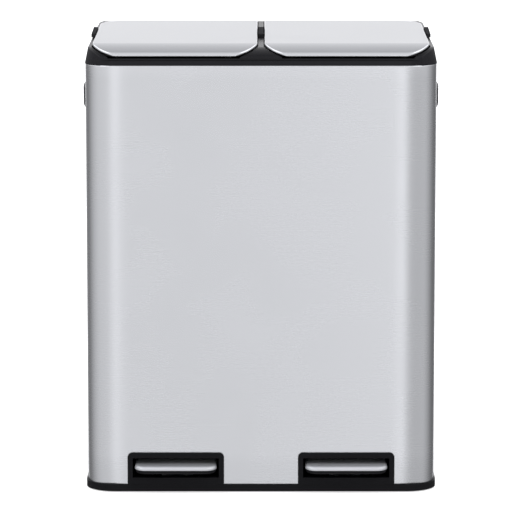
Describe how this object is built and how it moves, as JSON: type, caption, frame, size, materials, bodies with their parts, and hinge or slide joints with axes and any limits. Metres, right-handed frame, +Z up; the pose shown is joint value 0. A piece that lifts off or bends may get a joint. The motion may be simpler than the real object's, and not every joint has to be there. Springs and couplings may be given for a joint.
{
  "type": "double recycling bin",
  "caption": "Upright steel recycling bin with twin hinged lids, foot pedals, side handles and lift-out inner buckets.",
  "frame": {"origin": "on the floor, under the middle of the whole footprint, pedals and handles included", "axes": "+Z up, -Y to the front with the pedals, +X to the right seen from the front"},
  "size_m": [0.525, 0.3516, 0.6528],
  "materials": {
    "body_steel": "fine vertical satin brushing, clear lacquer",
    "lid_steel": "satin brushed sheet with a rolled bright edge",
    "collar_plastic": "semi-gloss moulded plastic",
    "black_plastic": "satin moulded plastic",
    "cap_plastic": "matte moulded plastic",
    "bright_plate": "polished stainless plate",
    "liner_plastic": "smooth moulded plastic",
    "bucket_plastic": "smooth moulded polypropylene",
    "zinc_steel": "zinc plated",
    "screw_steel": "plated screws and rivets",
    "rubber": "soft black rubber",
    "damper_plastic": "grey moulded plastic"
  },
  "bodies": {
    "bin": {"body_shell": "body_steel", "base_tray": "black_plastic", "base_feet": "rubber", "collar": "collar_plastic", "rail_cap_left": "cap_plastic", "rail_cap_centre": "cap_plastic", "rail_cap_right": "cap_plastic", "hinge_cover": "collar_plastic", "cover_screws": "screw_steel", "lid_bumpers": "rubber", "bracket_screws": "screw_steel", "clip_rivets": "screw_steel", "handle_screws": "screw_steel", "back_screws": "screw_steel", "hinge_pin_left": "zinc_steel", "hinge_pin_right": "zinc_steel", "pedal_frame_left": "black_plastic", "pedal_frame_right": "black_plastic", "pivot_bracket_left": "zinc_steel", "pivot_bracket_right": "zinc_steel", "lever_axle_left": "zinc_steel", "lever_axle_right": "zinc_steel", "rod_clip_lower_left": "zinc_steel", "rod_clip_lower_right": "zinc_steel", "rod_clip_upper_left": "zinc_steel", "rod_clip_upper_right": "zinc_steel", "damper_body_left": "damper_plastic", "damper_body_right": "damper_plastic", "bucket_left": "bucket_plastic", "bucket_right": "bucket_plastic", "side_handle_left": "black_plastic", "side_handle_right": "black_plastic"},
    "lid_left": {"lid_skin_left": "lid_steel", "lid_liner_left": "liner_plastic", "crank_pin_left": "zinc_steel"},
    "pedal_left": {"pedal_plate_left": "bright_plate", "pedal_pad_left": "black_plastic", "pedal_lever_left": "zinc_steel", "pedal_screws_left": "screw_steel"},
    "rod_left": {"push_rod_left": "zinc_steel", "rod_foot_left": "black_plastic", "rod_head_left": "black_plastic", "damper_arm_left": "black_plastic", "damper_plunger_left": "zinc_steel"},
    "lid_right": {"lid_skin_right": "lid_steel", "lid_liner_right": "liner_plastic", "crank_pin_right": "zinc_steel"},
    "pedal_right": {"pedal_plate_right": "bright_plate", "pedal_pad_right": "black_plastic", "pedal_lever_right": "zinc_steel", "pedal_screws_right": "screw_steel"},
    "rod_right": {"push_rod_right": "zinc_steel", "rod_foot_right": "black_plastic", "rod_head_right": "black_plastic", "damper_arm_right": "black_plastic", "damper_plunger_right": "zinc_steel"}
  },
  "joints": [
    {"name": "lid_hinge_left", "type": "hinge", "parent": "bin", "child": "lid_left", "pos_m": [-0.122, 0.13375, 0.64388], "axis": [-1, 0, 0], "range_deg": [0, 80]},
    {"name": "pedal_pivot_left", "type": "hinge", "parent": "bin", "child": "pedal_left", "pos_m": [-0.122, -0.06075, 0.03], "axis": [1, 0, 0], "range_deg": [0, 4.4]},
    {"name": "rod_slide_left", "type": "slide", "parent": "bin", "child": "rod_left", "axis": [0, 0, 1], "range_m": [0, 0.01416]},
    {"name": "lid_hinge_right", "type": "hinge", "parent": "bin", "child": "lid_right", "pos_m": [0.122, 0.13375, 0.64388], "axis": [-1, 0, 0], "range_deg": [0, 80]},
    {"name": "pedal_pivot_right", "type": "hinge", "parent": "bin", "child": "pedal_right", "pos_m": [0.122, -0.06075, 0.03], "axis": [1, 0, 0], "range_deg": [0, 4.4]},
    {"name": "rod_slide_right", "type": "slide", "parent": "bin", "child": "rod_right", "axis": [0, 0, 1], "range_m": [0, 0.01416]}
  ],
  "couplings": [
    {"joint": "pedal_pivot_left", "follows": "lid_hinge_left", "ratio": 0.054863},
    {"joint": "rod_slide_left", "follows": "lid_hinge_left", "m_per_rad": 0.010128},
    {"joint": "pedal_pivot_right", "follows": "lid_hinge_right", "ratio": 0.054863},
    {"joint": "rod_slide_right", "follows": "lid_hinge_right", "m_per_rad": 0.010128}
  ]
}
